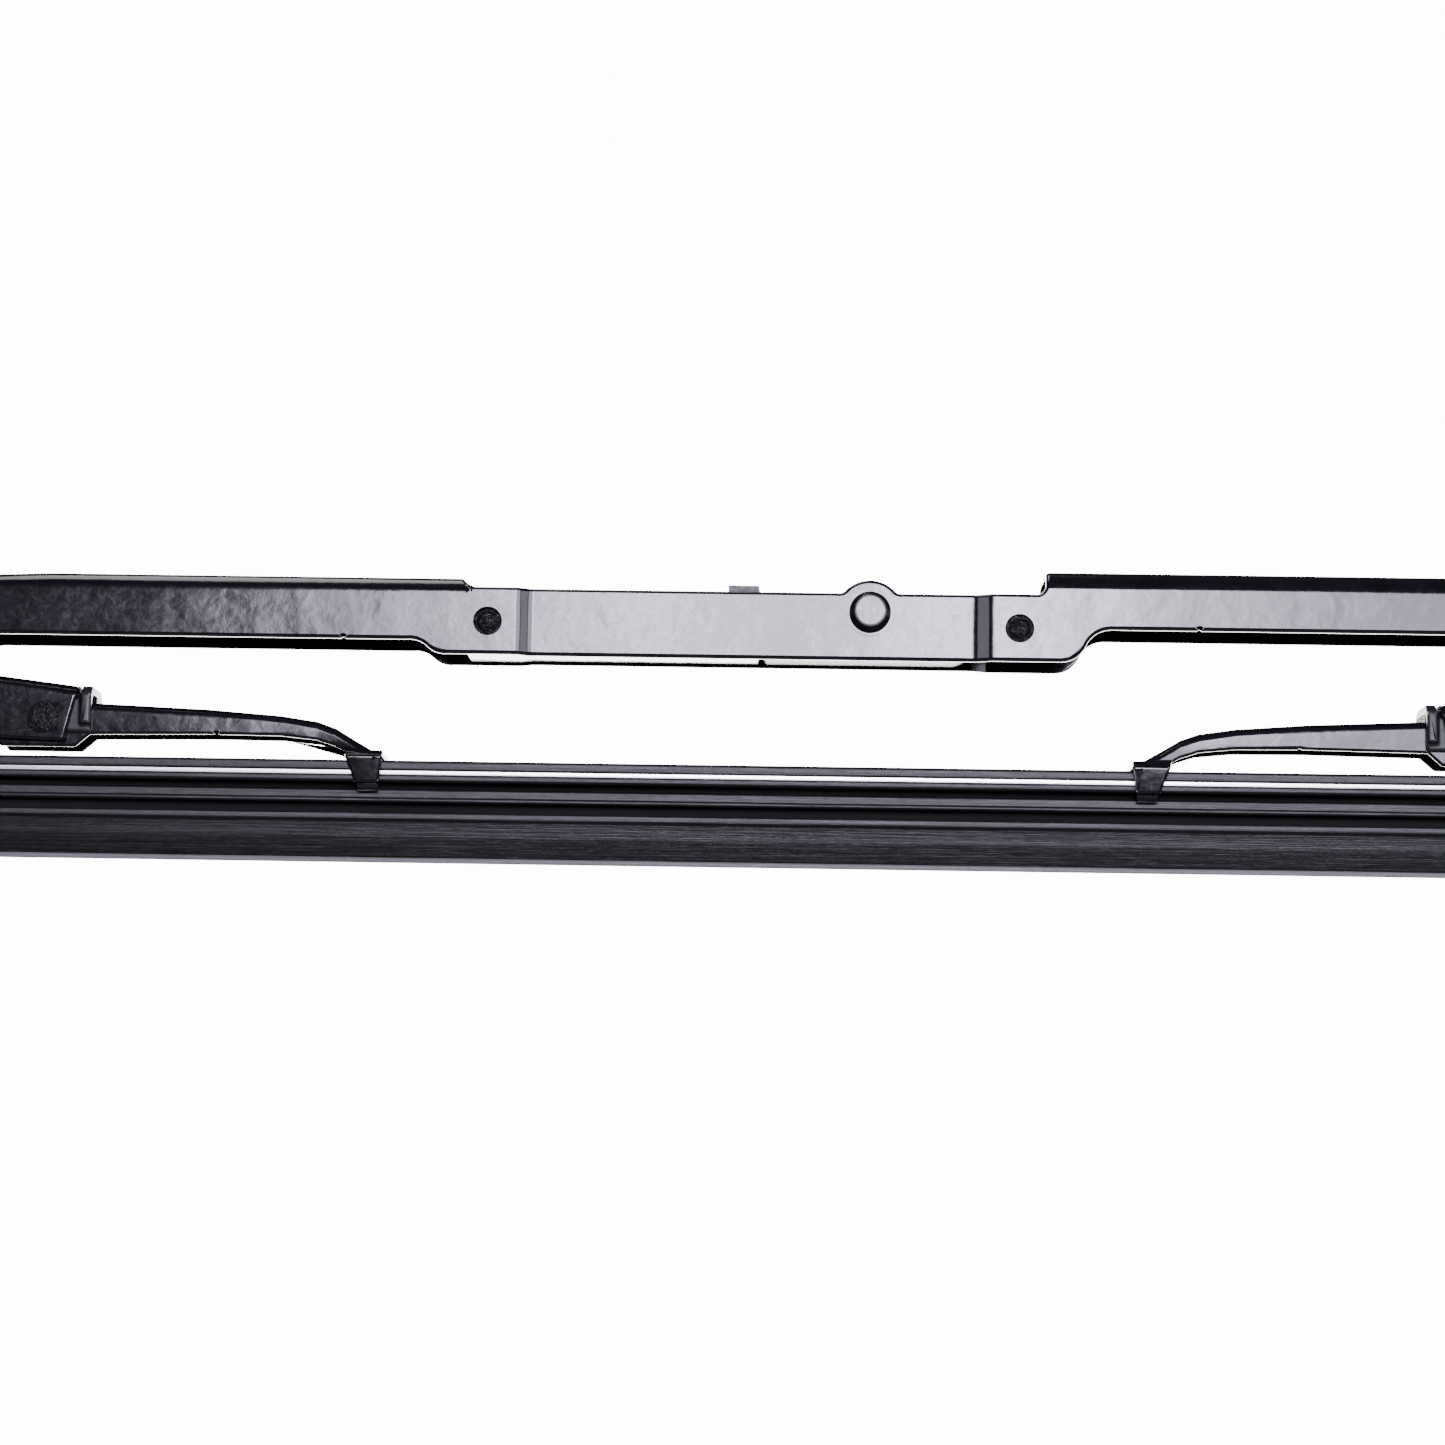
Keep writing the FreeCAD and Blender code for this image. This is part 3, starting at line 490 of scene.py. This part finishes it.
along_blade("rubber", rubber_section(), HALF_LENGTH, RUBBER, ["wiper_rubber"])
along_blade("front_strip", strip_section(-1), STRIP_HALF, STRIP, ["front_strip"])
along_blade("rear_strip", strip_section(1), STRIP_HALF, STRIP, ["rear_strip"])


# ------------------------------------------------------------------ steel and plastic pieces

def centre(node):
    low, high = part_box(node)
    return (low.x + high.x) / 2, (low.z + high.z) / 2


edge_broken("main_bridge", "bridge_shell", PAINT, 0.12, 4, 24, 0.62,
            [centre("cross_rivet_left"), centre("cross_rivet_right"), centre("hook_pin")])
edge_broken("window_stiffener", "stiffener_shell", PAINT, 0.25)
edge_broken("hook_adapter", "adapter_body", NYLON, 0.3)
edge_broken("hook_pin", "hook_pin_body", PIN, 0.35, 4, 22)
for word in ("left", "right"):
    edge_broken(f"cross_rivet_{word}", f"cross_rivet_{word}_body", RIVET, 0.15)
    edge_broken(f"{word}_lever", f"{word}_lever_shell", PAINT, 0.25, 4, 32, 0.5)
    edge_broken(f"{word}_yoke", f"{word}_yoke_shell", PAINT, 0.25, 4, 36, 0.45)
    edge_broken(f"{word}_lever_rivet", f"{word}_lever_rivet_body", PAINT, 0.3)
    edge_broken(f"{word}_yoke_rivet", f"{word}_yoke_rivet_body", RIVET, 0.15)
    edge_broken(f"{word}_lever_bush", f"{word}_lever_bush_body", NYLON, 0.15)
    edge_broken(f"{word}_yoke_bush", f"{word}_yoke_bush_body", NYLON, 0.3, 4, 32, 0.6)


# ------------------------------------------------------------------ stage, light and camera

def stage_plane(name, corners, strength, colour):
    """A flat sheet of the studio, glowing by itself where it has a strength."""
    mesh = bpy.data.meshes.new(name)
    mesh.from_pydata(corners, [], [(0, 1, 2, 3)])
    shader = Shader(name)
    duller = tuple(0.97 * share for share in colour)
    tint = shader.ramp(shader.noise(0.002), [(0.3, colour), (0.7, duller)])
    shader.set(colour=tint, roughness=0.9)
    if strength:
        shader.surface.inputs["Emission Color"].default_value = (*colour, 1)
        shader.surface.inputs["Emission Strength"].default_value = strength
    thing = as_object(name, mesh, shader.material)
    thing.visible_diffuse = not strength
    return thing


FLOOR_Z = -1.45
WALL_Y = 2.6
WALL_TOP = 1.25
FLOOR_HALF = 5
WALL_HALF = 3.2
stage_plane("floor",
            [(-FLOOR_HALF, -FLOOR_HALF, FLOOR_Z), (FLOOR_HALF, -FLOOR_HALF, FLOOR_Z),
             (FLOOR_HALF, WALL_Y, FLOOR_Z), (-FLOOR_HALF, WALL_Y, FLOOR_Z)],
            0.0, (0.80, 0.80, 0.80))
stage_plane("backdrop",
            [(-WALL_HALF, WALL_Y, FLOOR_Z), (WALL_HALF, WALL_Y, FLOOR_Z),
             (WALL_HALF, WALL_Y, WALL_TOP), (-WALL_HALF, WALL_Y, WALL_TOP)],
            14.0, (1.0, 1.0, 1.0))


def softbox(name, place, aim, width, height, power, colour=(1, 1, 1)):
    """A rectangular light, so many metres wide and high and so many watts strong."""
    light = bpy.data.lights.new(name, "AREA")
    light.shape = "RECTANGLE"
    light.size = width
    light.size_y = height
    light.energy = power
    light.color = colour
    lamp = bpy.data.objects.new(name, light)
    bpy.context.scene.collection.objects.link(lamp)
    lamp.location = place
    lamp.rotation_euler = (Vector(aim) - Vector(place)).to_track_quat("-Z", "Y").to_euler()
    return lamp


# Metres. The key light is a row of upright panels in front of the blade, mirrored in its paint.
KEY_Y = -0.95
KEY_LOW = 0.03
KEY_HIGH = 0.385
KEY_TINT = (0.86, 0.82, 1.0)


def key_panel(name, left, right, strength):
    """One upright panel of the key light, beside its neighbours, so many watts per square metre."""
    middle = (left + right) / 2
    height = KEY_HIGH - KEY_LOW
    power = strength * (right - left) * height
    softbox(name, (middle, KEY_Y, (KEY_LOW + KEY_HIGH) / 2), (middle, 0, (KEY_LOW + KEY_HIGH) / 2),
            right - left, height, power, KEY_TINT)


key_panel("key_fade_far", -0.35, -0.27, 0.3)
key_panel("key_fade", -0.27, -0.222, 3)
key_panel("key_left", -0.222, -0.165, 36)
key_panel("key_left_inner", -0.165, -0.125, 40)
key_panel("key_warm_left", -0.125, -0.075, 76)
key_panel("key_spot_left", -0.075, -0.045, 125)
key_panel("key_dip", -0.045, 0.02, 52)
key_panel("key_middle", 0.02, 0.055, 84)
key_panel("key_spot_right", 0.055, 0.085, 150)
key_panel("key_right_inner", 0.085, 0.145, 90)
key_panel("key_right", 0.145, 0.22, 50)
key_panel("key_far_right", 0.22, 0.95, 27)
softbox("side_left", (-1.15, -0.95, 0.15), (0, 0, 0.05), 0.6, 0.5, 2.4, KEY_TINT)
softbox("side_right", (1.75, -0.80, 0.15), (0, 0, 0.05), 0.8, 0.6, 5.5, KEY_TINT)
softbox("top", (-0.3, 0.1, 1.2), (-0.1, 0, 0), 0.9, 0.5, 5.5)

world = bpy.data.worlds.new("studio")
bpy.context.scene.world = world
world.use_nodes = True
world.node_tree.nodes["Background"].inputs[0].default_value = (0.55, 0.55, 0.62, 1)
world.node_tree.nodes["Background"].inputs[1].default_value = 0.07


def camera():
    """A level row of the blade seen from about 0.6 m in front and a little below."""
    distance = 578.2 * MM
    rise = math.radians(7.68)
    roll = math.radians(0.89)
    aim = at(-5.9, 0, 24.4)
    square_on = at(-0.7, 0, 0).x
    place = Vector((square_on, -distance * math.cos(rise), aim.z - distance * math.sin(rise)))
    look = (aim - place).normalized()
    right = look.cross(Vector((0, 0, 1))).normalized()
    up = right.cross(look)
    tilted_right = right * math.cos(roll) + up * math.sin(roll)
    tilted_up = up * math.cos(roll) - right * math.sin(roll)
    lens = bpy.data.cameras.new("camera")
    lens.sensor_width = 36
    lens.lens = 86.1
    lens.clip_start = 0.01
    lens.clip_end = 30
    eye = bpy.data.objects.new("camera", lens)
    bpy.context.scene.collection.objects.link(eye)
    eye.matrix_world = Matrix((
        (tilted_right.x, tilted_up.x, -look.x, place.x),
        (tilted_right.y, tilted_up.y, -look.y, place.y),
        (tilted_right.z, tilted_up.z, -look.z, place.z),
        (0, 0, 0, 1)))
    bpy.context.scene.camera = eye


camera()
